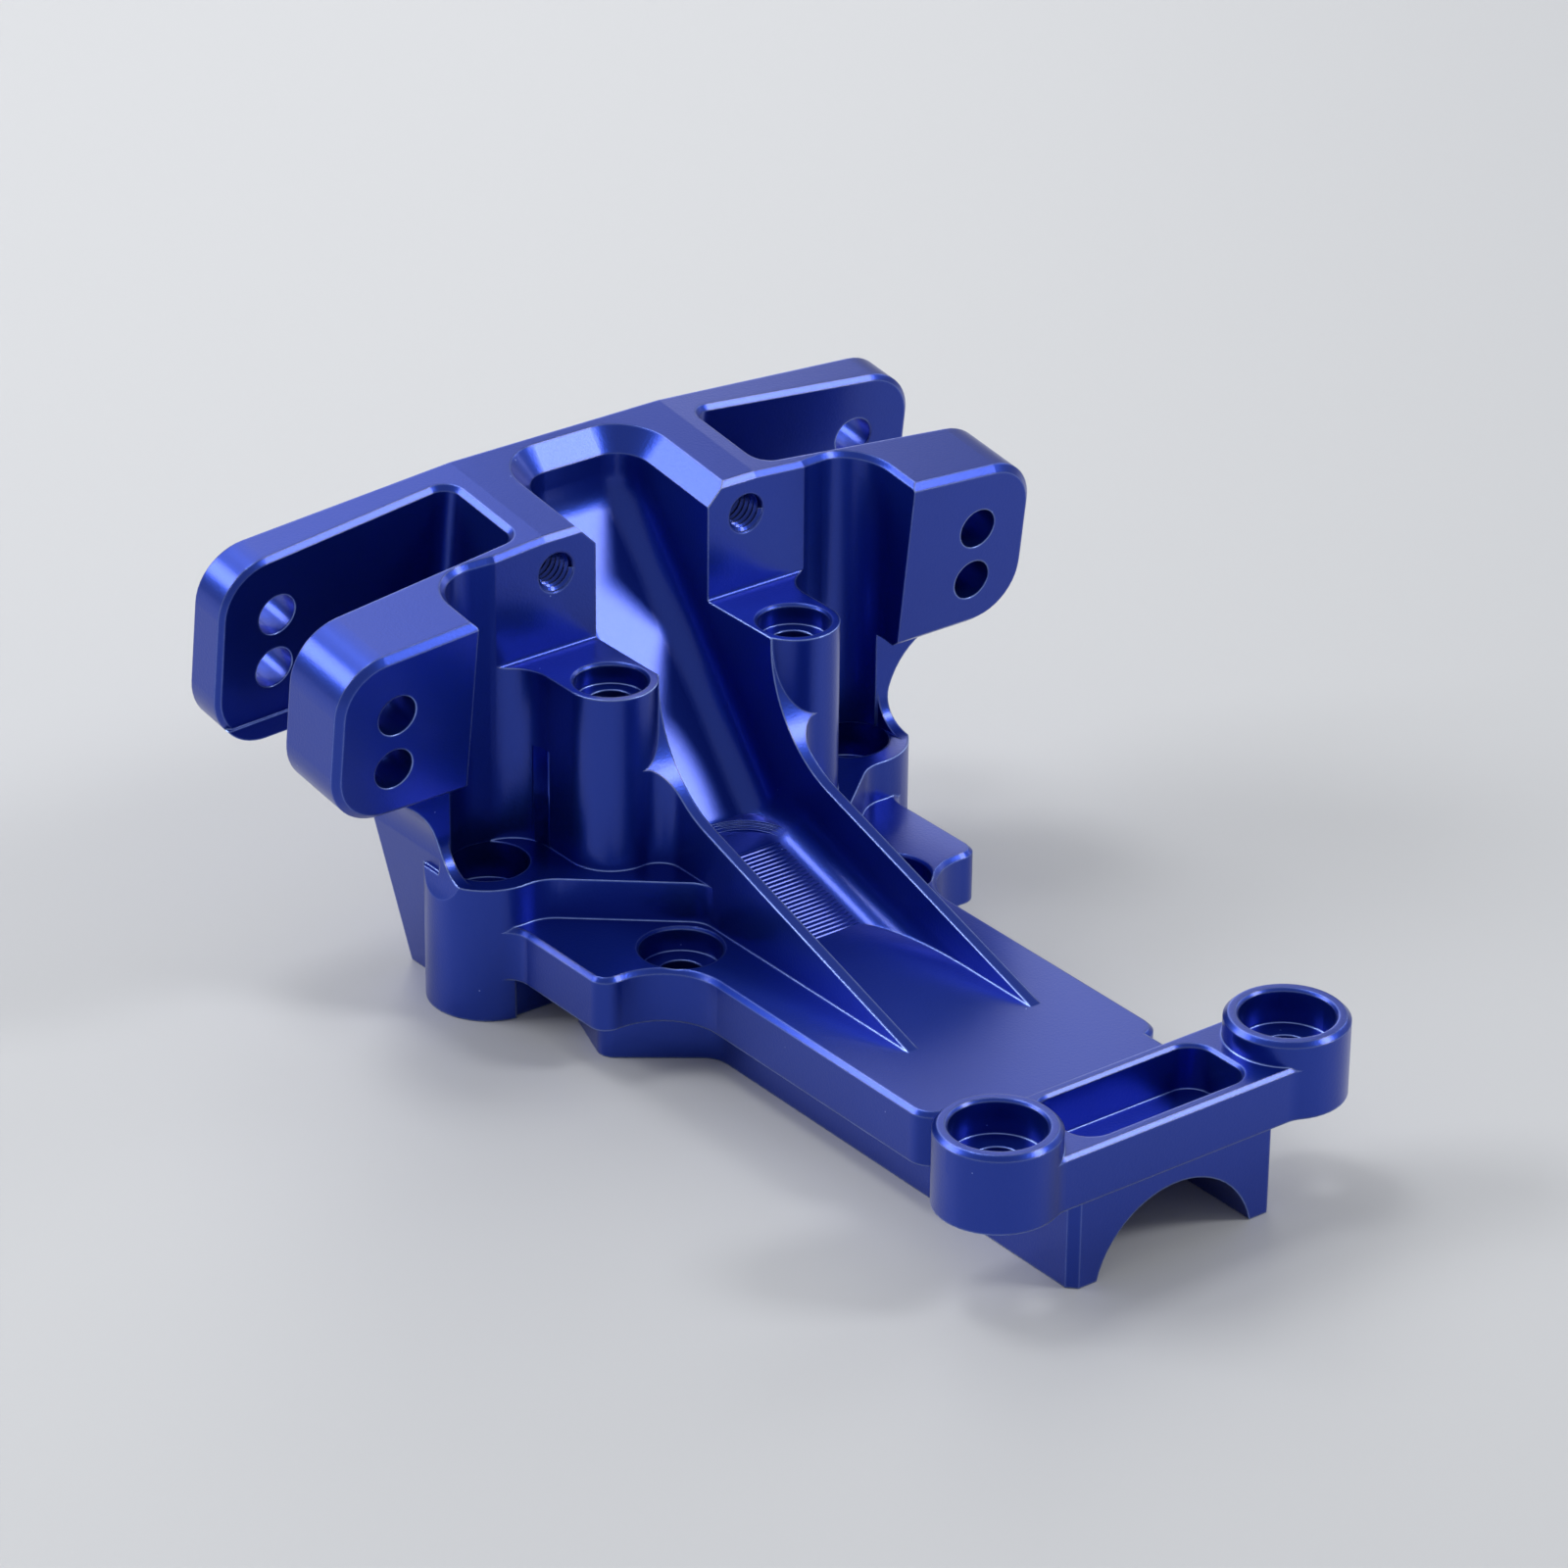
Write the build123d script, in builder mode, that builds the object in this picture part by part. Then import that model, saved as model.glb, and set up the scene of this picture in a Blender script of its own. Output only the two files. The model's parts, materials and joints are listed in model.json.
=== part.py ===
"""Gearbox cover: one piece milled from aluminium bar, then anodised.

The origin lies on the joint face, on the centre plane, midway between the two
front screws. X runs across the cover, Y runs back along it and Z points up.
The right half is built first and then mirrored.
"""
from build123d import *
from math import cos, radians, sin, tan
import os

# Tunnels under the cover: the shaft axes lie a little below the joint face
axis_drop = 2.3
nose_arch_radius = 9.5
nose_arch_length = 11.0
tunnel_radius = 7.0
gear_bay_radius = 13.0
gear_bay_width = 16.0
gear_bay_y = 66.0
window_start_y = 62.2
window_length = 4.6

# Nose bar with two screw bosses and a slot
boss_spacing = 34.5
boss_radius = 6.0
boss_top = 17.0
boss_bore_radius = 4.55
boss_bore_depth = 3.6
screw_hole_radius = 2.2
bar_bottom = 9.0
bar_top = 14.5
bar_front = 5.1
bar_corner = 3.0
bar_edge = 0.35
slot_length = 20.0
slot_width = 8.3
slot_centre_y = 0.5
slot_floor = 9.8
slot_corner = 2.5
nose_width = 24.4
nose_setback = 0.15
nose_corner = 0.9

# Neck plate and the flange that widens behind it
plate_top = 10.1
plate_bottom = 4.5
plate_width = 28.6
plate_start_y = 13.7
plate_corner = 2.5
flange_width = 46.4
flange_step = 2.4
flange_start_y = 52.3
flange_corner = 1.8
low_body_inset = 2.0
low_body_waist = 3.0
low_body_waist_y = 48.4
low_body_shoulder_y = 55.2
low_body_taper = 2.4

# Low, deep and middle screw places
low_screw_x = 12.8
low_screw_y = 53.6
low_bore_radius = 4.1
low_bore_depth = 2.6
deep_screw_x = 22.2
deep_screw_y = 72.5
deep_bore_radius = 4.2
deep_bore_depth = 4.0
deep_column_radius = 6.2
deep_shelf = 14.4
deep_wall_y = 56.3
deep_wall_angle = 40.0
deep_wall_corner = 3.0
deep_column_corner = 4.0
flange_joint_corner = 2.5
mid_screw_x = 11.1
mid_screw_y = 67.3
mid_bore_radius = 3.6
mid_bore_depth = 2.2
mid_column_radius = 4.6
mid_column_corner = 2.5
mid_shelf = 32.9

# Deck: a plane that rises to the back and falls away outboard of two kinks
deck_tilt = 7.5
deck_height = 35.25
deck_kink_x = 12.7
deck_fall = 4.3
ear_span = 83.8
ear_front = 67.9
ear_depth = 20.0
ear_top_corner = 5.5
ear_bottom_corner = 6.0
rear_ear_drop = 2.2
rear_ear_start = 84.0
rear_face = 93.0

# Clevis gaps between the ears, with two pin holes through both ears
gap_inner_x = 14.8
gap_front = 78.25
gap_back = 89.6
gap_sweep = 3.4
gap_corner = 1.8
gap_step = 0.3
pin_hole_radius = 2.15
pin_hole_x = 35.15
upper_pin_depth = 8.5
pin_pitch = 6.0

# Screw faces with two threaded holes
screw_face_y = 75.6
screw_face_foot = 0.4
thread_radius = 2.0
thread_depth = 10.0
thread_x = 11.5
thread_z = 41.2

# Scoop that runs down to each deep screw
scoop_edge_x = 15.7
scoop_inner_y = 71.5
scoop_x = 22.0
scoop_y = 71.8
scoop_radius = 4.3
scoop_rise = 40.0

# Chute from the deck down to the plate, between two ribs
chute_width = 13.6
chute_corner = 3.4
chute_foot_y = 47.2
chute_landing_y = 60.2
chute_landing_z = 13.6
chute_ramp_y = 65.5
chute_ramp = 49.5
chute_blend = 5.0
chute_kink = 3.0
chute_back_y = 88.8
rib_thickness = 1.2
rib_tip_y = 24.4
rib_slope = 17.2
rib_knee_y = 56.0
rib_top_y = 65.3

# Pedestal under the wings
pedestal_foot_x = 24.6
groove_radius = 8.0
groove_inner_x = 27.5
groove_z = 16.0
web_front_y = 73.0
web_foot_radius = 4.0
pedestal_back_y = 82.3
pedestal_lean = 7.0

# Edge breaks
boss_edge = 0.45
fine_edge = 0.25
thread_edge = 0.12
slot_edge = 0.3
plate_edge = 0.45
ear_edge = 0.7
gap_edge = 0.5
face_edge = 0.5
pocket_edge = 2.1
pocket_inset = 1.0

# Places that follow from the sizes above
over = 5.0
boss_x = boss_spacing / 2
nose_x = nose_width / 2
plate_x = plate_width / 2
flange_x = flange_width / 2
waist_radius = flange_x - plate_x - flange_step
low_body_side = flange_x - low_body_inset
ear_x = ear_span / 2
chute_x = chute_width / 2
rib_x = chute_x + rib_thickness
deck_top = deck_height + rear_face * sin(radians(deck_tilt)) + over

deck = Plane(
    origin=(0, 0, deck_height),
    x_dir=(1, 0, 0),
    z_dir=(0, -sin(radians(deck_tilt)), cos(radians(deck_tilt))),
)


def across(y):
    """Upright plane across the cover at a place along it, facing forwards."""
    return Plane.XZ.offset(-y)


def wing_plane(y):
    """Plane square to the deck, at a place along the deck, facing forwards."""
    return Plane(origin=deck.from_local_coords((0, y, 0)), x_dir=(1, 0, 0), z_dir=-deck.y_dir)


def wing_section(plane, depth):
    """Half of the wings' outline, with the rounded ear end."""
    ear_top = (ear_x - deck_kink_x) * tan(radians(deck_fall))
    with BuildSketch(plane) as section:
        with BuildLine():
            Polyline((0, 0), (deck_kink_x, 0), (ear_x, -ear_top), (ear_x, -depth), (0, -depth), close=True)
        make_face()
        fillet(section.vertices().group_by(Axis.X)[-1].sort_by(Axis.Y)[-1], radius=ear_top_corner)
        fillet(section.vertices().sort_by(Axis.Y).group_by(Axis.Y)[0].sort_by(Axis.X)[-1], radius=ear_bottom_corner)
    return section.sketch


def deck_edge(part, x, y):
    """Edge of a part nearest to a point on top of the wings, given in the deck's own coordinates."""
    fall = max(x - deck_kink_x, 0) * tan(radians(deck_fall))
    return part.edges().sort_by_distance(deck.from_local_coords((x, y, -fall)))[0]


def gap_section(step):
    """Outline of a clevis gap on the deck, open at its outer end."""
    reach = ear_x + over
    slant = (reach - gap_inner_x) * tan(radians(gap_sweep))
    with BuildSketch(deck) as section:
        with BuildLine():
            Polyline(
                (gap_inner_x, gap_front),
                (reach, gap_front - slant),
                (reach, gap_back - step - slant),
                (gap_inner_x, gap_back - step),
                close=True,
            )
        make_face()
        fillet(section.vertices().group_by(Axis.X)[0], radius=gap_corner)
    return section.sketch


# Nose block and neck
with BuildPart() as nose:
    with BuildSketch():
        with Locations((0, nose_setback - bar_front)):
            Rectangle(nose_x, plate_start_y + bar_front + over, align=(Align.MIN, Align.MIN))
        chamfer(vertices().group_by(Axis.X)[-1].sort_by(Axis.Y)[0], length=nose_corner)
    extrude(amount=plate_top)

# Plate and flange, with a curve where the flange meets the deep column
with BuildPart() as flange:
    with BuildSketch(Plane.XY.offset(plate_bottom)):
        with BuildLine():
            waist = (plate_x, flange_start_y - waist_radius)
            widening = TangentArc(waist, (plate_x + waist_radius, flange_start_y), tangent=(0, 1))
            Polyline(
                widening @ 1,
                (flange_x, flange_start_y),
                (flange_x, deep_screw_y),
                (0, deep_screw_y),
                (0, plate_start_y),
                (plate_x, plate_start_y),
                waist,
            )
        make_face()
        fillet(vertices().group_by(Axis.X)[-1].sort_by(Axis.Y)[0], radius=flange_corner)
        fillet(vertices().group_by(Axis.Y)[0].sort_by(Axis.X)[-1], radius=plate_corner)
        with Locations((deep_screw_x, deep_screw_y)):
            Circle(deep_column_radius)
        joint = (flange_x, deep_screw_y - deep_column_radius)
        fillet(vertices().sort_by_distance(joint)[0], radius=flange_joint_corner)
    extrude(amount=plate_top - plate_bottom)
    rim = edges().group_by(Axis.Z)[-1].filter_by_position(Axis.X, over, deep_screw_x + deep_column_radius)
    chamfer(rim.filter_by_position(Axis.Y, plate_start_y, deep_screw_y - deep_column_radius), length=plate_edge)

# Low body that stands in under the plate and flange
with BuildPart() as low_body:
    with BuildSketch():
        with BuildLine():
            Polyline(
                (0, plate_start_y),
                (nose_x, plate_start_y),
                (nose_x, low_body_waist_y),
                (low_body_side, low_body_shoulder_y),
                (low_body_side - low_body_taper, window_start_y),
                (0, window_start_y),
                close=True,
            )
        make_face()
        fillet(vertices().sort_by_distance((nose_x, low_body_waist_y))[0], radius=low_body_waist)
        fillet(vertices().group_by(Axis.X)[-1], radius=flange_corner)
    extrude(amount=plate_bottom)

# Raised body behind the flange, with the deep column
with BuildPart() as raised:
    with BuildSketch():
        with BuildLine():
            wall_rise = (deep_screw_x - rib_x) * tan(radians(deep_wall_angle))
            Polyline(
                (0, rib_knee_y - over),
                (rib_x, rib_knee_y - over),
                (rib_x, deep_wall_y),
                (deep_screw_x, deep_wall_y + wall_rise),
                (deep_screw_x, web_front_y + over),
                (0, web_front_y + over),
                close=True,
            )
        make_face()
        fillet(vertices().sort_by_distance((rib_x, deep_wall_y))[0], radius=deep_wall_corner)
        with Locations((deep_screw_x, deep_screw_y)):
            Circle(deep_column_radius)
        joint = (deep_screw_x, deep_screw_y - deep_column_radius)
        fillet(vertices().sort_by_distance(joint)[0], radius=deep_column_corner)
    extrude(amount=deep_shelf)

# Middle column, joined to the body behind it
with BuildPart() as middle:
    with BuildSketch():
        with Locations((mid_screw_x, mid_screw_y)):
            Circle(mid_column_radius)
        with Locations((0, mid_screw_y)):
            Rectangle(scoop_edge_x, web_front_y - mid_screw_y + over, align=(Align.MIN, Align.MIN))
    extrude(amount=mid_shelf)

# Rib: its crest rises gently from the tip, then steeply to the middle shelf
with BuildPart() as rib:
    with BuildSketch(Plane.YZ):
        with BuildLine():
            knee = (rib_knee_y, plate_top + (rib_knee_y - rib_tip_y) * tan(radians(rib_slope)))
            crest = (cos(radians(rib_slope)), sin(radians(rib_slope)))
            steep = TangentArc(knee, (rib_top_y, mid_shelf), tangent=crest)
            Polyline(
                steep @ 1,
                (mid_screw_y, mid_shelf),
                (mid_screw_y, plate_bottom),
                (rib_tip_y, plate_bottom),
                (rib_tip_y, plate_top),
                knee,
            )
        make_face()
    extrude(amount=mid_screw_x)
    with BuildSketch():
        with Locations((0, rib_tip_y - over)):
            Rectangle(rib_x, mid_screw_y - rib_tip_y + over, align=(Align.MIN, Align.MIN))
        with Locations((mid_screw_x, mid_screw_y)):
            Circle(mid_column_radius)
        joint = (rib_x, mid_screw_y - mid_column_radius)
        fillet(vertices().sort_by_distance(joint)[0], radius=mid_column_corner)
    extrude(amount=mid_shelf, mode=Mode.INTERSECT)

# Wing: front ear, rear ear and the deck between them, less the clevis gap
with BuildPart() as wing:
    along = Axis(deck.origin, deck.y_dir)
    extrude(wing_section(wing_plane(ear_front), ear_depth), amount=ear_front - rear_face)
    front_rim = wing.edges().group_by(along)[0].filter_by_position(Axis.X, fine_edge, ear_x)
    chamfer(front_rim, length=ear_edge)
    rear_section = wing_section(wing_plane(rear_ear_start), ear_depth + rear_ear_drop)
    extrude(rear_section, amount=rear_ear_start - rear_face)
    rear_rim = wing.edges().group_by(along)[-1].filter_by_position(Axis.X, fine_edge, ear_x)
    chamfer(rear_rim, length=gap_edge)
    extrude(gap_section(0), amount=over, mode=Mode.SUBTRACT)
    extrude(gap_section(0), amount=-ear_depth, mode=Mode.SUBTRACT)
    extrude(gap_section(gap_step), amount=-2 * ear_depth, mode=Mode.SUBTRACT)
    chamfer(deck_edge(wing, gap_inner_x, (gap_front + gap_back) / 2), length=gap_edge)
    for depth in (upper_pin_depth, upper_pin_depth + pin_pitch):
        with BuildSketch(wing_plane(ear_front - over)):
            with Locations((pin_hole_x, -depth)):
                Circle(pin_hole_radius)
        extrude(amount=ear_front - rear_face - 2 * over, mode=Mode.SUBTRACT)

# Pedestal under the wing, with a hollow side and a back that leans out
with BuildPart() as pedestal:
    with BuildSketch(across(web_front_y)):
        with BuildLine():
            groove_x = groove_inner_x + groove_radius
            flare = RadiusArc((groove_inner_x, groove_z), (groove_x, groove_z + groove_radius), groove_radius)
            Polyline(
                flare @ 1,
                (groove_x, mid_shelf),
                (0, mid_shelf),
                (0, 0),
                (pedestal_foot_x, 0),
                (groove_inner_x, groove_z),
            )
        make_face()
    extrude(amount=web_front_y - rear_face - over)
    with BuildSketch(Plane.YZ):
        with BuildLine():
            lean = mid_shelf * tan(radians(pedestal_lean))
            Polyline(
                (web_front_y, 0),
                (pedestal_back_y, 0),
                (pedestal_back_y + lean, mid_shelf),
                (web_front_y, mid_shelf),
                close=True,
            )
        make_face()
    extrude(amount=ear_x, mode=Mode.INTERSECT)
    with BuildSketch(deck.offset(-ear_depth)):
        Rectangle(ear_x, 2 * rear_face + over, align=(Align.MIN, Align.CENTER))
    extrude(amount=mid_shelf, mode=Mode.SUBTRACT)

# Web foot: a curve from the deep shelf up to the front of the web beside the scoop
with BuildPart() as web_foot:
    with BuildSketch(Plane.YZ.offset(deep_screw_x + deep_bore_radius)):
        with Locations((web_front_y, deep_shelf)):
            Rectangle(web_foot_radius, web_foot_radius, align=(Align.MAX, Align.MIN))
        with Locations((web_front_y - web_foot_radius, deep_shelf + web_foot_radius)):
            Circle(web_foot_radius, mode=Mode.SUBTRACT)
    extrude(amount=deep_column_radius)
    with BuildSketch():
        with Locations((deep_screw_x, deep_screw_y)):
            Circle(deep_column_radius)
    extrude(amount=mid_shelf, mode=Mode.INTERSECT)

# Nose bar with its screw boss
with BuildPart() as bar:
    with BuildSketch(Plane.XY.offset(bar_bottom)):
        with Locations((0, -bar_front)):
            Rectangle(boss_x, bar_front + boss_radius, align=(Align.MIN, Align.MIN))
        with Locations((boss_x, 0)):
            Circle(boss_radius)
        fillet(vertices().group_by(Axis.Y)[0].sort_by(Axis.X)[-1], radius=bar_corner)
    extrude(amount=bar_top - bar_bottom)
    chamfer(edges().group_by(Axis.Z)[-1].sort_by(Axis.Y)[0], length=bar_edge)
    with BuildSketch(Plane.XY.offset(bar_bottom)):
        with Locations((boss_x, 0)):
            Circle(boss_radius)
    extrude(amount=boss_top - bar_bottom)
    chamfer(edges().group_by(Axis.Z)[-1], length=boss_edge)
    with Locations((boss_x, 0, boss_top)):
        CounterBoreHole(screw_hole_radius, boss_bore_radius, boss_bore_depth)
        CounterSinkHole(boss_bore_radius, boss_bore_radius + fine_edge, boss_bore_depth, counter_sink_angle=90)

# Slot tool
with BuildPart() as slot:
    with BuildSketch(Plane.XY.offset(slot_floor)):
        with Locations((0, slot_centre_y)):
            RectangleRounded(slot_length, slot_width, slot_corner)
    extrude(amount=bar_top - slot_floor)
    with BuildSketch(Plane.XY.offset(bar_top - slot_edge)):
        with Locations((0, slot_centre_y)):
            RectangleRounded(slot_length, slot_width, slot_corner)
    extrude(amount=slot_edge, taper=-45)

# Chute tool: the space above the chute's floor, with rounded floor corners
with BuildPart() as chute:
    with BuildSketch(Plane.YZ):
        with BuildLine():
            front = rib_tip_y - over
            slope = (chute_landing_z - plate_top) / (chute_landing_y - chute_foot_y)
            ramp_top = chute_landing_z + (chute_back_y - chute_ramp_y) * tan(radians(chute_ramp))
            Polyline(
                (front, plate_top - (chute_foot_y - front) * slope),
                (chute_landing_y, chute_landing_z),
                (chute_ramp_y, chute_landing_z),
                (chute_back_y, ramp_top),
                (chute_back_y, deck_top),
                (front, deck_top),
                close=True,
            )
        make_face()
        fillet(vertices().sort_by(Axis.Y)[1:3], radius=chute_kink)
        fillet(vertices().sort_by_distance((chute_back_y, ramp_top))[0], radius=chute_blend)
    extrude(amount=chute_x, both=True)
    for side in edges().group_by(Axis.X)[0], edges().group_by(Axis.X)[-1]:
        floor_edges = side.filter_by_position(Axis.Y, front, chute_back_y, (False, True))
        fillet(floor_edges.filter_by_position(Axis.Z, 0, deck_top - fine_edge), radius=chute_corner)
    split(bisect_by=Plane.XY.offset(plate_top), keep=Keep.TOP)
    with BuildSketch(deck.offset(-pocket_edge - pocket_inset)):
        back = (chute_back_y - pocket_edge * sin(radians(deck_tilt))) / cos(radians(deck_tilt))
        with Locations((0, back - pocket_inset)):
            Rectangle(
                chute_width - 2 * pocket_inset,
                2 * chute_corner + over,
                align=(Align.CENTER, Align.MAX),
            )
        fillet(vertices().group_by(Axis.Y)[-1], radius=chute_corner - pocket_inset)
    extrude(amount=pocket_edge + pocket_inset + fine_edge, taper=-45)

# Scoop tool: two overlapping bores that run out to the front
with BuildPart() as scoop:
    with BuildSketch(Plane.XY.offset(deep_shelf)):
        with Locations((scoop_x, scoop_y), (scoop_edge_x + scoop_radius, scoop_inner_y)):
            Circle(scoop_radius)
        with Locations((scoop_edge_x, scoop_inner_y)):
            Rectangle(
                scoop_x + scoop_radius - scoop_edge_x,
                scoop_inner_y - deep_wall_y,
                align=(Align.MIN, Align.MAX),
            )
        make_hull()
    extrude(amount=scoop_rise)

# Tunnel tool: the hollow for the shafts and gear, open at the joint face
with BuildPart() as tunnel:
    with BuildSketch(across(gear_bay_y)):
        with Locations((0, -axis_drop)):
            Circle(tunnel_radius)
    extrude(amount=gear_bay_y + over)
    with BuildSketch(across(-over - bar_front)):
        with Locations((0, -axis_drop)):
            Circle(nose_arch_radius)
    extrude(amount=-nose_arch_length - over)
    with BuildSketch(Plane.YZ):
        with Locations((gear_bay_y, -axis_drop)):
            Circle(gear_bay_radius)
    extrude(amount=gear_bay_width / 2, both=True)
    with BuildSketch():
        with Locations((0, window_start_y)):
            Rectangle(flange_width, window_length, align=(Align.CENTER, Align.MIN))
    extrude(amount=plate_bottom)

# Right half: the blocks are joined, then the front is cleared and the screw holes are bored
with BuildPart() as half:
    for block in (nose, flange, low_body, raised, middle, rib, wing, pedestal, web_foot, bar):
        add(block.part)
    with BuildSketch(Plane.XY.offset(mid_shelf)):
        Rectangle(scoop_edge_x + scoop_radius, 2 * screw_face_y, align=(Align.MIN, Align.CENTER))
    extrude(amount=scoop_rise, mode=Mode.SUBTRACT)
    add(scoop.part, mode=Mode.SUBTRACT)
    fillet(half.edges().sort_by_distance((mid_screw_x, screw_face_y, mid_shelf))[0], radius=screw_face_foot)
    face_y = screw_face_y / cos(radians(deck_tilt))
    face_rim = [deck_edge(half, x, face_y) for x in (deck_kink_x / 2, scoop_edge_x)]
    scoop_rim = deck_edge(half, scoop_x + scoop_radius, (ear_front + scoop_y) / 2)
    chamfer([*face_rim, scoop_rim], length=face_edge)
    with BuildSketch(across(0)):
        with Locations((groove_inner_x + groove_radius, groove_z)):
            Circle(groove_radius)
    extrude(amount=-rear_face, mode=Mode.SUBTRACT)
    for place, bore_radius, bore_depth in (
        ((low_screw_x, low_screw_y, plate_top), low_bore_radius, low_bore_depth),
        ((mid_screw_x, mid_screw_y, mid_shelf), mid_bore_radius, mid_bore_depth),
    ):
        with Locations(place):
            CounterBoreHole(screw_hole_radius, bore_radius, bore_depth)
            CounterSinkHole(bore_radius, bore_radius + fine_edge, bore_depth, counter_sink_angle=90)
    with BuildSketch(Plane.XY.offset(deep_shelf)):
        with Locations((deep_screw_x, deep_screw_y)):
            Circle(deep_bore_radius)
    extrude(amount=-deep_bore_depth, mode=Mode.SUBTRACT)
    with BuildSketch():
        with Locations((deep_screw_x, deep_screw_y)):
            Circle(screw_hole_radius)
    extrude(amount=deep_shelf, mode=Mode.SUBTRACT)
    with Locations(across(screw_face_y) * Pos(thread_x, thread_z)):
        CounterSinkHole(thread_radius, thread_radius + thread_edge, thread_depth, counter_sink_angle=90)

# Whole cover
with BuildPart() as cover:
    add(half.part)
    mirror(about=Plane.YZ)
    for tool in (slot, chute, tunnel):
        add(tool.part, mode=Mode.SUBTRACT)
cover.part.label = "gearbox_cover"
os.makedirs("parts", exist_ok=True)
export_step(cover.part, "parts/gearbox_cover.step")
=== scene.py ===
"""Looks of the gearbox cover: blue anodised finish, machined details, floor, lights and camera."""
import json
from math import cos, pi, radians, sin, sqrt

import bmesh
import bpy
from mathutils import Matrix, Vector


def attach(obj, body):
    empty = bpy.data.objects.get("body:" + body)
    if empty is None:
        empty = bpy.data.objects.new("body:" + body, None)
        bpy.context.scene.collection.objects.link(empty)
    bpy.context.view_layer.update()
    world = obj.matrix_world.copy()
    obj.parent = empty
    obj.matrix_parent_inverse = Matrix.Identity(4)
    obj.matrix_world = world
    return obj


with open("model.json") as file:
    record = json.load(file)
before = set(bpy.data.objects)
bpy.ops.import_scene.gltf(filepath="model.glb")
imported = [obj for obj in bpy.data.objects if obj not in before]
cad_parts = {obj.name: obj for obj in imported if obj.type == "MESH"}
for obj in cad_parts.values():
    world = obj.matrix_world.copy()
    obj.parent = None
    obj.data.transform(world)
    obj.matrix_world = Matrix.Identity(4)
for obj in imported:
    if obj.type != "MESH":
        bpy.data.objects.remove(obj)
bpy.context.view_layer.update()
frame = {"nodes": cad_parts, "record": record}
mounts = {mount["name"]: mount for mount in frame["record"]["mounts"]}

# Sizes and places on the cover are in mm; those of the floor and the lights are in metres
MM = 0.001

# Anodised blue, from its cloudy variation to a paler edge, partly worn and partly a painted highlight
DEEP_BLUE = (0.0080, 0.037, 0.34, 1.0)
LIGHT_BLUE = (0.0105, 0.046, 0.40, 1.0)
# Paler edge colour: partly edge wear, partly painted highlight along edges and concave feet
EDGE_HIGHLIGHT_AND_WEAR_BLUE = (0.36, 0.50, 1.0, 1.0)

# Patterns of the finish, in turns per metre: clouds in the dye, specks, edge wear and painted edge
# highlight, blasted grain
CLOUD_SCALE = 60.0
SPECK_SCALE = 230.0
WEAR_AND_HIGHLIGHT_SCALE = 700.0
GRAIN_SCALE = 3800.0

# How strongly they show; a speck's radius is a share of its cell in the pattern
LEAST_WEAR_AND_HIGHLIGHT = 1.4
WEAR_AND_HIGHLIGHT_SPREAD = 3.2
SPECK_RADIUS = 0.02
SPECK_PALENESS = 0.5
ROUGHNESS_RANGE = (0.29, 0.37)
GRAIN_STRENGTH = 0.55
GRAIN_HEIGHT = 0.03

# Sealed metal under its dye
SEALED_METAL = {"Metallic": 0.86, "Coat Weight": 0.36, "Coat Roughness": 0.2, "Coat IOR": 1.6}

# Sockets of a Mix node for colours; its sockets for numbers and vectors have the same names
MIX_FACTOR, MIX_FIRST, MIX_SECOND = 0, 6, 7
MIX_RESULT = 2

# Ridge of each screw thread, between the ends of its threaded hole
THREAD_PITCH = 0.7
RIDGE_HEIGHT = 0.34
RIDGE_SINK = 0.03
RIDGE_FOOT_SHARE = 0.8
RIDGE_LEAD_IN = 0.25
RIDGE_LEAD_OUT = 0.35
STEPS_PER_TURN = 32

# Chute's floor: a slope from the plate up to a landing, and a round corner all along its sides
PLATE_TOP = 10.1
SLOPE_FOOT_Y = 47.2
LANDING_Y = 60.2
LANDING_Z = 13.6
CHUTE_HALF_WIDTH = 6.8
FLOOR_CORNER = 3.4

# Cutter steps on the slope: each rises steeply on a short run, then lies almost level
SLOPE_STEP_COUNT = 25
SLOPE_HALF_WIDTH = 4.7
SLOPE_SETTLE = 0.01
RISER_RUN_SHARE = 0.2
RISER_CLIMB_SHARE = 0.78

# Round cutter steps behind the landing, up to where they run out in the ramp
ARC_CENTRE_Y = 60.4
ARC_STEP_COUNT = 4
ARC_RISE = 0.16
ARC_REACH = 7.6
ARC_SEGMENTS = 48

# How deep the steps' slabs lie in the cover
STEP_SINK = 0.4

# Foot of each scoop's inner wall, down to the deep shelf, and how deep its slab lies in the wall
SCOOP_AXIS_X = 20.0
SCOOP_AXIS_Y = 71.51
SCOOP_WALL_RADIUS = 4.288
SCOOP_FOOT_ANGLE = 26.0
SCOOP_FOOT_SEGMENTS = 12
SCOOP_FOOT_LAP = 0.4
SCOOP_FOOT_BOTTOM = 14.0
SCOOP_FOOT_TOP = 24.85
SCOOP_SINK_X = 0.25
SCOOP_SINK_Y = 0.15

# Floor, just under the cover
FLOOR_COLOUR = (0.55, 0.56, 0.58)
FLOOR_ROUGHNESS = 0.5
FLOOR_RADIUS = 6.0
FLOOR_SEGMENTS = 96
FLOOR_GAP = 0.05 * MM

# Soft lights: name, place, width and height, and power in watts; all face the cover's middle
LIGHTS = (
    ("back_wide_light", (0.05, 0.78, 0.82), (0.9, 0.4), 1.7),
    ("back_left_light", (-0.66, 0.66, 0.62), (0.55, 0.4), 5.2),
    ("top_light", (-0.12, 0.42, 1.0), (0.25, 0.25), 1.9),
    ("back_low_light", (0.5, 0.9, 0.35), (0.5, 0.5), 1.2),
    ("front_right_light", (0.7, -0.65, 0.85), (0.3, 0.3), 4.6),
    ("right_light", (1.0, 0.1, 0.6), (0.4, 0.4), 1.2),
)
COVER_MIDDLE = (0, 0.045, 0.02)
ROOM_COLOUR = (0.95, 0.97, 1.0, 1.0)
ROOM_STRENGTH = 0.42

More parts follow.
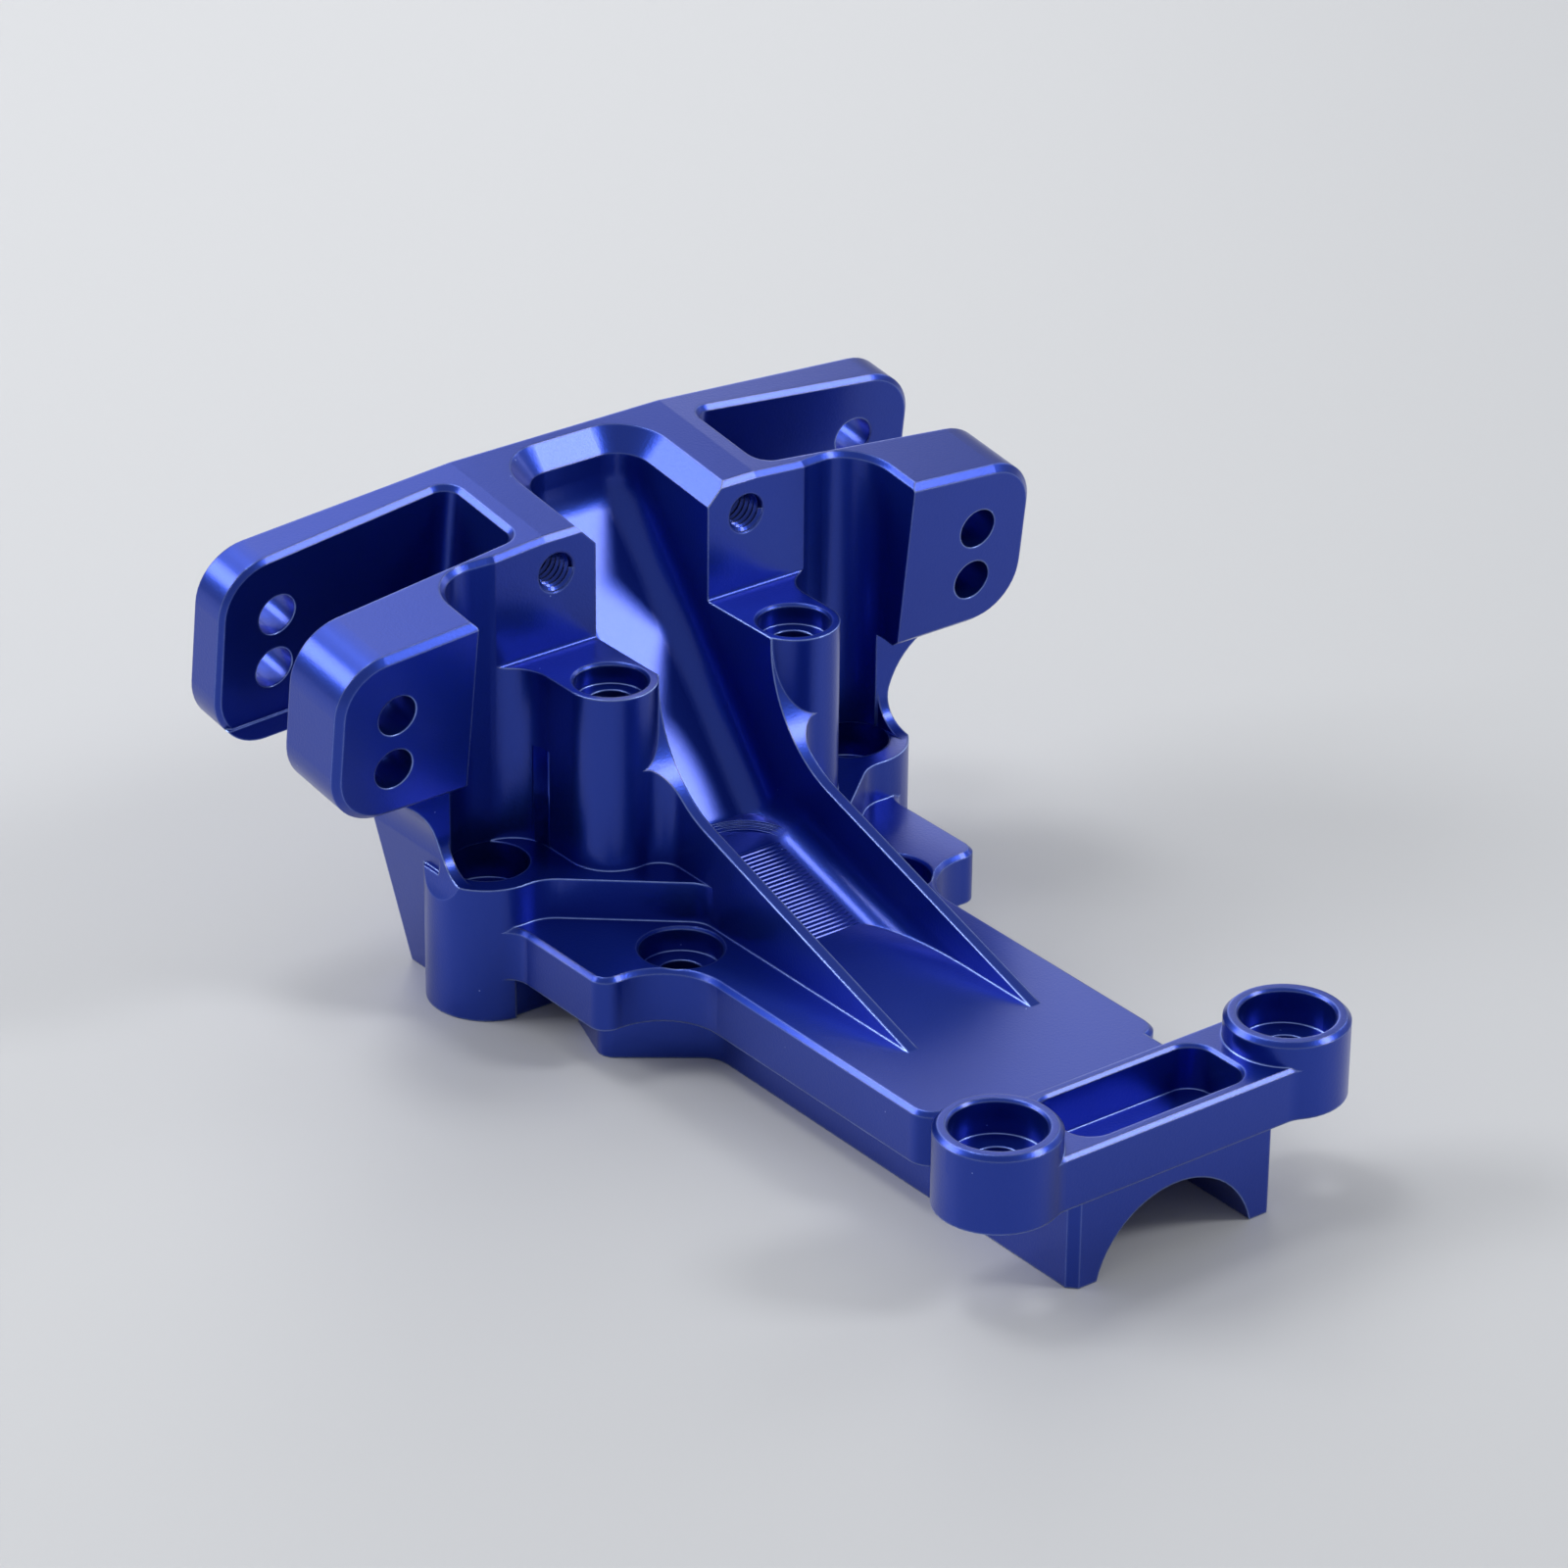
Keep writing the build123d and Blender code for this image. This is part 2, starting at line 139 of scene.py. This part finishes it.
# Camera: where it stands, in mm, and how it looks at the cover, in degrees
CAMERA_PLACE = (-347.9, -395.0, 316.2)
CAMERA_AZIMUTH = -37.757
CAMERA_ELEVATION = 27.247
CAMERA_ROLL = 0.617
FOCAL_PIXELS = 6762.0
IMAGE_PIXELS = 1600
SENSOR_MM = 36.0
CAMERA_NEAR = 0.01


# Materials

def add_node(tree, kind, inputs, **properties):
    """New shader node; its properties are set, then each input gets a plain value or a socket's link."""
    node = tree.nodes.new(kind)
    for name, value in properties.items():
        setattr(node, name, value)
    for key, value in inputs.items():
        if isinstance(value, bpy.types.NodeSocket):
            tree.links.new(value, node.inputs[key])
        else:
            node.inputs[key].default_value = value
    return node


def math_node(tree, operation, *values, clamp=False):
    """Math on sockets and plain numbers; gives its output socket."""
    inputs = dict(enumerate(values))
    return add_node(tree, "ShaderNodeMath", inputs, operation=operation, use_clamp=clamp).outputs[0]


def noise(tree, place, scale, detail=2.0, roughness=0.5):
    """Noise value from 0 to 1, at a scale in turns per metre."""
    inputs = {"Vector": place, "Scale": scale, "Detail": detail, "Roughness": roughness}
    return add_node(tree, "ShaderNodeTexNoise", inputs).outputs["Fac"]


def colour_mix(tree, factor, first, second):
    """Mix of two colours, plain or from a socket; gives its output socket."""
    inputs = {MIX_FACTOR: factor, MIX_FIRST: first, MIX_SECOND: second}
    return add_node(tree, "ShaderNodeMix", inputs, data_type="RGBA").outputs[MIX_RESULT]


def satin_finish():
    """Shader group of the satin anodised surface: colour with edges painted paler as wear and painted
    highlight, roughness and normal.
    """
    tree = bpy.data.node_groups.new("satin_finish", "ShaderNodeTree")
    for name, direction, kind in (
        ("Edge Radius", "INPUT", "NodeSocketFloat"),
        ("Edge Highlight And Wear", "INPUT", "NodeSocketFloat"),
        ("Color", "OUTPUT", "NodeSocketColor"),
        ("Roughness", "OUTPUT", "NodeSocketFloat"),
        ("Normal", "OUTPUT", "NodeSocketVector"),
    ):
        tree.interface.new_socket(name, in_out=direction, socket_type=kind)
    given = tree.nodes.new("NodeGroupInput")
    place = tree.nodes.new("ShaderNodeTexCoord").outputs["Object"]
    cloud = noise(tree, place, CLOUD_SCALE, detail=3.0)
    dye = colour_mix(tree, cloud, DEEP_BLUE, LIGHT_BLUE)

    # Edges are rounded, and painted paler where the rounded normal leans away from the true one, on
    # convex edges and concave feet alike: partly edge wear, partly painted highlight
    bevel = {"Radius": given.outputs["Edge Radius"]}
    rounded = add_node(tree, "ShaderNodeBevel", bevel, samples=8).outputs[0]
    true_normal = tree.nodes.new("ShaderNodeNewGeometry").outputs["Normal"]
    agreement = add_node(
        tree, "ShaderNodeVectorMath", {0: rounded, 1: true_normal}, operation="DOT_PRODUCT"
    )
    edge = math_node(tree, "SUBTRACT", 1.0, agreement.outputs["Value"], clamp=True)
    patches = noise(tree, place, WEAR_AND_HIGHLIGHT_SCALE, detail=3.0, roughness=0.6)
    patchy = math_node(tree, "MULTIPLY_ADD", patches, WEAR_AND_HIGHLIGHT_SPREAD, LEAST_WEAR_AND_HIGHLIGHT)
    patchy_highlight_edge = math_node(tree, "MULTIPLY", edge, patchy)
    edge_highlight_and_wear_mask = math_node(tree, "MULTIPLY", patchy_highlight_edge, given.outputs["Edge Highlight And Wear"])

    # Pale specks
    dots = add_node(tree, "ShaderNodeTexVoronoi", {"Vector": place, "Scale": SPECK_SCALE})
    speck = math_node(tree, "LESS_THAN", dots.outputs["Distance"], SPECK_RADIUS)
    pale_speck = math_node(tree, "MULTIPLY", speck, SPECK_PALENESS)
    pale = math_node(tree, "MAXIMUM", edge_highlight_and_wear_mask, pale_speck, clamp=True)

    least_rough, most_rough = ROUGHNESS_RANGE
    rough = add_node(
        tree, "ShaderNodeMapRange", {"Value": cloud, "To Min": least_rough, "To Max": most_rough}
    )
    grain = {
        "Strength": GRAIN_STRENGTH,
        "Distance": GRAIN_HEIGHT * MM,
        "Height": noise(tree, place, GRAIN_SCALE),
        "Normal": rounded,
    }
    results = {
        # Dye colour, painted paler towards edges as wear and painted highlight, and at specks
        "Color": colour_mix(tree, pale, dye, EDGE_HIGHLIGHT_AND_WEAR_BLUE),
        "Roughness": rough.outputs[0],
        "Normal": add_node(tree, "ShaderNodeBump", grain).outputs[0],
    }
    add_node(tree, "NodeGroupOutput", results)
    return tree


def anodised(name, finish, edge_radius, edge_highlight_and_wear):
    """Blue anodised aluminium; its edges are rounded by a radius in mm and painted paler, partly as wear
    and partly as painted highlight.
    """
    material = bpy.data.materials.new(name)
    material.use_nodes = True
    tree = material.node_tree
    shader = tree.nodes["Principled BSDF"]
    for socket, value in SEALED_METAL.items():
        shader.inputs[socket].default_value = value
    edges = {"Edge Radius": edge_radius * MM, "Edge Highlight And Wear": edge_highlight_and_wear}
    surface = add_node(tree, "ShaderNodeGroup", edges, node_tree=finish)
    tree.links.new(surface.outputs["Color"], shader.inputs["Base Color"])
    tree.links.new(surface.outputs["Roughness"], shader.inputs["Roughness"])
    tree.links.new(surface.outputs["Normal"], shader.inputs["Normal"])
    return material


def plain(name, colour, roughness):
    """Even matt material."""
    material = bpy.data.materials.new(name)
    material.use_nodes = True
    shader = material.node_tree.nodes["Principled BSDF"]
    shader.inputs["Base Color"].default_value = (*colour, 1.0)
    shader.inputs["Roughness"].default_value = roughness
    return material


# Shapes

def mesh_object(name, mesh_maker, material):
    """Object at the origin from a bmesh that mesh_maker fills."""
    mesh = bpy.data.meshes.new(name)
    shape = bmesh.new()
    mesh_maker(shape)
    shape.to_mesh(mesh)
    shape.free()
    piece = bpy.data.objects.new(name, mesh)
    bpy.context.scene.collection.objects.link(piece)
    mesh.materials.append(material)
    return piece


def new_vertices(made):
    """Vertices among what an extrusion made."""
    return [part for part in made["geom"] if isinstance(part, bmesh.types.BMVert)]


def drawn_profile(shape, start, moves):
    """Line of edges from a start point, one for each move."""
    point = shape.verts.new(start)
    for move in moves:
        made = bmesh.ops.extrude_vert_indiv(shape, verts=[point])
        point = made["verts"][0]
        bmesh.ops.translate(shape, verts=[point], vec=move)


def sunk_slab(shape, inward):
    """Closed slab from a sheet: its copy lies deeper, inside the cover."""
    made = bmesh.ops.extrude_face_region(shape, geom=list(shape.faces), use_keep_orig=True)
    bmesh.ops.translate(shape, verts=new_vertices(made), vec=Vector(inward) * MM)
    bmesh.ops.recalc_face_normals(shape, faces=shape.faces)


def thread_ridge(hole_name):
    """Maker of the helical ridge inside a threaded hole: a triangle swept round the hole's axis."""
    def make(shape):
        hole = mounts[hole_name]
        centre = Vector(hole["pos_m"])
        radius, length = hole["dims"]["r_mm"], hole["dims"]["length_mm"]
        foot, crest = radius + RIDGE_SINK, radius - RIDGE_HEIGHT
        half_width = RIDGE_FOOT_SHARE / 2 * THREAD_PITCH
        start = RIDGE_LEAD_IN - length / 2
        turns = (length - RIDGE_LEAD_IN - RIDGE_LEAD_OUT) / THREAD_PITCH
        corners = [
            shape.verts.new(centre + Vector((outward, start + along, 0)) * MM)
            for outward, along in ((foot, -half_width), (crest, 0.0), (foot, half_width))
        ]
        face = shape.faces.new(corners)
        bmesh.ops.spin(
            shape,
            geom=[face, *face.edges, *face.verts],
            cent=centre,
            axis=(0, 1, 0),
            dvec=(0, THREAD_PITCH / STEPS_PER_TURN * MM, 0),
            angle=2 * pi * turns,
            steps=int(turns * STEPS_PER_TURN),
            use_duplicate=False,
        )
        bmesh.ops.recalc_face_normals(shape, faces=shape.faces)
    return make


def slope_steps(shape):
    """Cutter steps that climb the slope from the plate to the chute's landing."""
    climb = (LANDING_Z - PLATE_TOP) / SLOPE_STEP_COUNT * MM
    run = (LANDING_Y - SLOPE_FOOT_Y) / SLOPE_STEP_COUNT * MM
    riser = (0, RISER_RUN_SHARE * run, RISER_CLIMB_SHARE * climb)
    tread = (0, run - riser[1], climb - riser[2])
    start = Vector((-SLOPE_HALF_WIDTH, SLOPE_FOOT_Y, PLATE_TOP - SLOPE_SETTLE)) * MM
    drawn_profile(shape, start, [riser, tread] * SLOPE_STEP_COUNT)
    made = bmesh.ops.extrude_edge_only(shape, edges=list(shape.edges))
    bmesh.ops.translate(shape, verts=new_vertices(made), vec=(2 * SLOPE_HALF_WIDTH * MM, 0, 0))
    sunk_slab(shape, (0, 0, -STEP_SINK))


def corner_reach(height):
    """How far from the chute's middle its floor's round corner is, at a height above the floor."""
    return CHUTE_HALF_WIDTH - FLOOR_CORNER + sqrt(FLOOR_CORNER**2 - (FLOOR_CORNER - height) ** 2)


def arc_steps(shape):
    """Round cutter steps behind the landing, at the foot of the ramp."""
    reaches = [corner_reach(step * ARC_RISE) for step in range(1, ARC_STEP_COUNT + 1)]
    moves = []
    for reach, next_reach in zip(reaches, [*reaches[1:], ARC_REACH]):
        moves += [(0, 0, ARC_RISE * MM), (0, (next_reach - reach) * MM, 0)]
    centre = Vector((0, ARC_CENTRE_Y, LANDING_Z)) * MM
    drawn_profile(shape, centre + Vector((0, reaches[0], 0)) * MM, moves)
    quarter_turn = Matrix.Rotation(-pi / 2, 3, "Z")
    bmesh.ops.rotate(shape, verts=shape.verts, cent=centre, matrix=quarter_turn)
    bmesh.ops.spin(
        shape,
        geom=[*shape.verts, *shape.edges],
        cent=centre,
        axis=(0, 0, 1),
        angle=pi,
        steps=ARC_SEGMENTS,
        use_duplicate=False,
    )
    sunk_slab(shape, (0, 0, -STEP_SINK))


def scoop_foot(side):
    """Maker of the curved foot that carries a scoop's inner wall down to the deep shelf."""
    def make(shape):
        turn = radians(SCOOP_FOOT_ANGLE)
        x = side * (SCOOP_AXIS_X - SCOOP_WALL_RADIUS * cos(turn))
        y = SCOOP_AXIS_Y + SCOOP_WALL_RADIUS * sin(turn)
        heights = (SCOOP_FOOT_BOTTOM, SCOOP_FOOT_TOP)
        ends = [shape.verts.new(Vector((x, y, height)) * MM) for height in heights]
        edge = shape.edges.new(ends)
        swept = bmesh.ops.spin(
            shape,
            geom=[edge, *ends],
            cent=Vector((side * SCOOP_AXIS_X, SCOOP_AXIS_Y, 0)) * MM,
            axis=(0, 0, 1),
            angle=side * turn,
            steps=SCOOP_FOOT_SEGMENTS,
            use_duplicate=False,
        )
        last = [part for part in swept["geom_last"] if isinstance(part, bmesh.types.BMEdge)]
        lap = bmesh.ops.extrude_edge_only(shape, edges=last)
        bmesh.ops.translate(shape, verts=new_vertices(lap), vec=(0, -SCOOP_FOOT_LAP * MM, 0))
        for face in shape.faces:
            face.smooth = True
        sunk_slab(shape, (-side * SCOOP_SINK_X, SCOOP_SINK_Y, 0))
    return make


def floor_sheet(shape):
    """Wide flat floor."""
    bmesh.ops.create_circle(shape, cap_ends=True, radius=FLOOR_RADIUS, segments=FLOOR_SEGMENTS)
    bmesh.ops.translate(shape, verts=shape.verts, vec=(0, 0, -FLOOR_GAP))


# The cover, and the fine pieces on it

finish = satin_finish()
# Edges of each material are painted paler, partly wear and partly painted highlight, as strongly as its
# last value
blue = anodised("satin_blue_anodised", finish, edge_radius=0.36, edge_highlight_and_wear=1.0)
fine_blue = anodised("fine_blue_anodised", finish, edge_radius=0.12, edge_highlight_and_wear=0.8)
flush_blue = anodised("flush_blue_anodised", finish, edge_radius=0.0, edge_highlight_and_wear=0.0)
cover = frame["nodes"]["gearbox_cover"]
cover.data.materials.clear()
cover.data.materials.append(blue)

for name, mesh_maker, material in (
    ("left_thread", thread_ridge("left_thread"), fine_blue),
    ("right_thread", thread_ridge("right_thread"), fine_blue),
    ("left_scoop_foot", scoop_foot(-1), flush_blue),
    ("right_scoop_foot", scoop_foot(1), flush_blue),
    ("slope_steps", slope_steps, fine_blue),
    ("arc_steps", arc_steps, fine_blue),
):
    piece = mesh_object(name, mesh_maker, material)
    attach(piece, "root")

floor = mesh_object("floor", floor_sheet, plain("pale_floor", FLOOR_COLOUR, FLOOR_ROUGHNESS))


# Lights and camera

def soft_light(name, place, size, power):
    """Soft light, width by height, that faces the middle of the cover."""
    light = bpy.data.lights.new(name, "AREA")
    light.shape = "RECTANGLE"
    light.size, light.size_y = size
    light.energy = power
    lamp = bpy.data.objects.new(name, light)
    bpy.context.scene.collection.objects.link(lamp)
    lamp.location = place
    towards = Vector(COVER_MIDDLE) - lamp.location
    lamp.rotation_euler = towards.to_track_quat("-Z", "Y").to_euler()


for light_values in LIGHTS:
    soft_light(*light_values)

world = bpy.data.worlds.new("studio")
bpy.context.scene.world = world
world.use_nodes = True
background = world.node_tree.nodes["Background"]
background.inputs["Color"].default_value = ROOM_COLOUR
background.inputs["Strength"].default_value = ROOM_STRENGTH

azimuth, elevation = radians(CAMERA_AZIMUTH), radians(CAMERA_ELEVATION)
right = Vector((cos(azimuth), sin(azimuth), 0))
back = Vector((sin(azimuth) * cos(elevation), -cos(azimuth) * cos(elevation), sin(elevation)))
level_turn = Matrix((right, back.cross(right), back)).transposed()
camera_turn = level_turn @ Matrix.Rotation(radians(CAMERA_ROLL), 3, "Z")
camera_data = bpy.data.cameras.new("camera")
camera_data.sensor_width = SENSOR_MM
camera_data.lens = FOCAL_PIXELS / IMAGE_PIXELS * SENSOR_MM
camera_data.clip_start = CAMERA_NEAR
camera = bpy.data.objects.new("camera", camera_data)
bpy.context.scene.collection.objects.link(camera)
camera.matrix_world = Matrix.Translation(Vector(CAMERA_PLACE) * MM) @ camera_turn.to_4x4()
bpy.context.scene.camera = camera
bpy.context.scene.view_settings.view_transform = "Standard"
